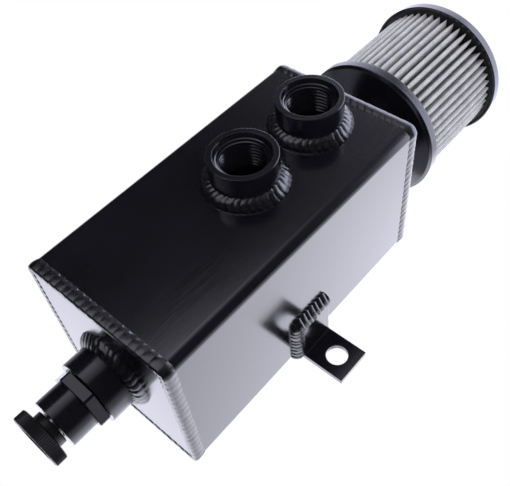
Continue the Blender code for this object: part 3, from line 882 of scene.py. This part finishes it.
def make_lights():
    """Soft panels, hidden from the camera, that shape the gauze and the plain parts."""
    centre = (Vector(CAD_BOX[0]) + Vector(CAD_BOX[1])) / 2
    panels = (
        ("key_panel", (-0.7, -1.1, 1.2), 0.9, 9.0),
        ("fill_panel", (1.1, -0.9, 0.2), 1.0, 9.0),
    )
    for name, offset, size, power in panels:
        light = bpy.data.lights.new(name, "AREA")
        light.shape = "SQUARE"
        light.size = size
        light.energy = power
        made = bpy.data.objects.new(name, light)
        bpy.context.scene.collection.objects.link(made)
        made.location = centre + Vector(offset)
        made.rotation_euler = (-Vector(offset)).to_track_quat("-Z", "Y").to_euler()
        made.visible_camera = False
        made.visible_glossy = False


def make_floor():
    """Plain pale floor, well below the part and hidden from reflections."""
    floor_z = CAD_BOX[0][2] - FLOOR_DROP
    bm = bmesh.new()
    bmesh.ops.create_grid(bm, x_segments=8, y_segments=8, size=FLOOR_REACH)
    mesh = bpy.data.meshes.new("floor")
    bm.to_mesh(mesh)
    bm.free()
    floor = bpy.data.objects.new("floor", mesh)
    bpy.context.scene.collection.objects.link(floor)
    floor.location = (0, 0, floor_z)
    floor.visible_glossy = False
    look = Look("pale_floor", IOR=1.3, Metallic=0.0)
    cloud = look.noise(look.place(), 3.0, 3.0)
    look.into("Base Color", look.blend(cloud, (0.9, 0.9, 0.905), (0.935, 0.935, 0.94)))
    look.into("Roughness", look.range(cloud, 0.7, 0.85))
    mesh.materials.append(look.material)


def make_camera():
    """Camera below and to the right of the tank's front, looking up along it and rolled to slant it."""
    at, aim = TANK_AXIS + CAMERA_PLACE * MM, TANK_AXIS + CAMERA_AIM * MM
    roll = CAMERA_ROLL
    ahead = (aim - at).normalized()
    level = ahead.cross(Vector((0, 0, 1))).normalized()
    upright = level.cross(ahead)
    right = level * math.cos(roll) + upright * math.sin(roll)
    up = upright * math.cos(roll) - level * math.sin(roll)
    data = bpy.data.cameras.new("camera")
    data.sensor_width = 36.0
    data.lens = CAMERA_LENS
    data.clip_start = 0.01
    camera = bpy.data.objects.new("camera", data)
    bpy.context.scene.collection.objects.link(camera)
    camera.matrix_world = Matrix((
        (right.x, up.x, -ahead.x, at.x),
        (right.y, up.y, -ahead.y, at.y),
        (right.z, up.z, -ahead.z, at.z),
        (0, 0, 0, 1),
    ))
    bpy.context.scene.camera = camera


def main():
    make_camera()
    make_world()
    make_lights()
    make_floor()
    bpy.context.scene.view_settings.view_transform = "Standard"

    tank_look = anodised("black_tube", 0.13)
    plate_look = anodised("black_plate", 0.16)
    turned_look = anodised("black_turned", 0.17, lathe=True, ior=1.75)
    cap_look = anodised("black_cap", 0.17, lathe=True)
    knob_blacks = (0.0035, 0.0035, 0.0046), (0.006, 0.0058, 0.0078)
    knob_look = anodised("black_knob", 0.36, *knob_blacks, lathe=True, ior=1.5)
    weld_look = welded("weld_metal")
    rubber = moulded("black_rubber", (0.012, 0.012, 0.012), (0.022, 0.022, 0.022), 0.55, 300.0, 0.15)
    resin = moulded("potting_resin", (0.005, 0.005, 0.006), (0.010, 0.010, 0.011), 0.42, 90.0, 0.3)
    aluminium = bare_metal("machined_aluminium", (0.66, 0.66, 0.67), (0.8, 0.8, 0.81), 0.32)
    steel = bare_metal("turned_steel", (0.5, 0.5, 0.51), (0.62, 0.62, 0.63), 0.22)
    sheet_steel = bare_metal("perforated_sheet", (0.5, 0.5, 0.5), (0.62, 0.62, 0.62), 0.36, lathe=False)

    make_tank(tank_look, plate_look, weld_look)
    facing_front, facing_down = (math.pi / 2, 0, 0), (math.pi, 0, 0)
    for seed, (name, height) in enumerate(zip(("port_lower", "port_upper"), PORT_HEIGHTS)):
        make_bung(name, turned_look, weld_look, 10 + seed, (0, -HALF, height), facing_front, threaded=True)
    make_bung("drain_bung", turned_look, weld_look, 12, (0, 0, 0), facing_down, threaded=False)
    make_bung("filter_bung", turned_look, weld_look, 13, (0, 0, LENGTH), (0, 0, 0), threaded=False)
    make_bracket("bracket_right", 1, plate_look, weld_look, 20)
    make_bracket("bracket_left", -1, plate_look, weld_look, 21)
    make_valve(turned_look)
    make_knob(knob_look)
    make_filter(cap_look, gauze("steel_gauze"))
    make_seal("drain_port_ring", "drain_port_oring", PORT_RING, "tank", rubber)
    make_seal("drain_stem_ring", "drain_stem_oring", STEM_RING, "drain_handle", rubber)
    make_seal("filter_seat_ring", "filter_oring", SEAT_RING, "filter_seal", rubber)
    wear("drain_seal_pad", rubber)
    wear("drain_stem", steel)
    wear("baffle_plate", aluminium)
    wear("filter_stud", aluminium)
    wear("filter_core", sheet_steel)
    wear("filter_bond_base", resin)
    wear("filter_bond_top", resin)


main()
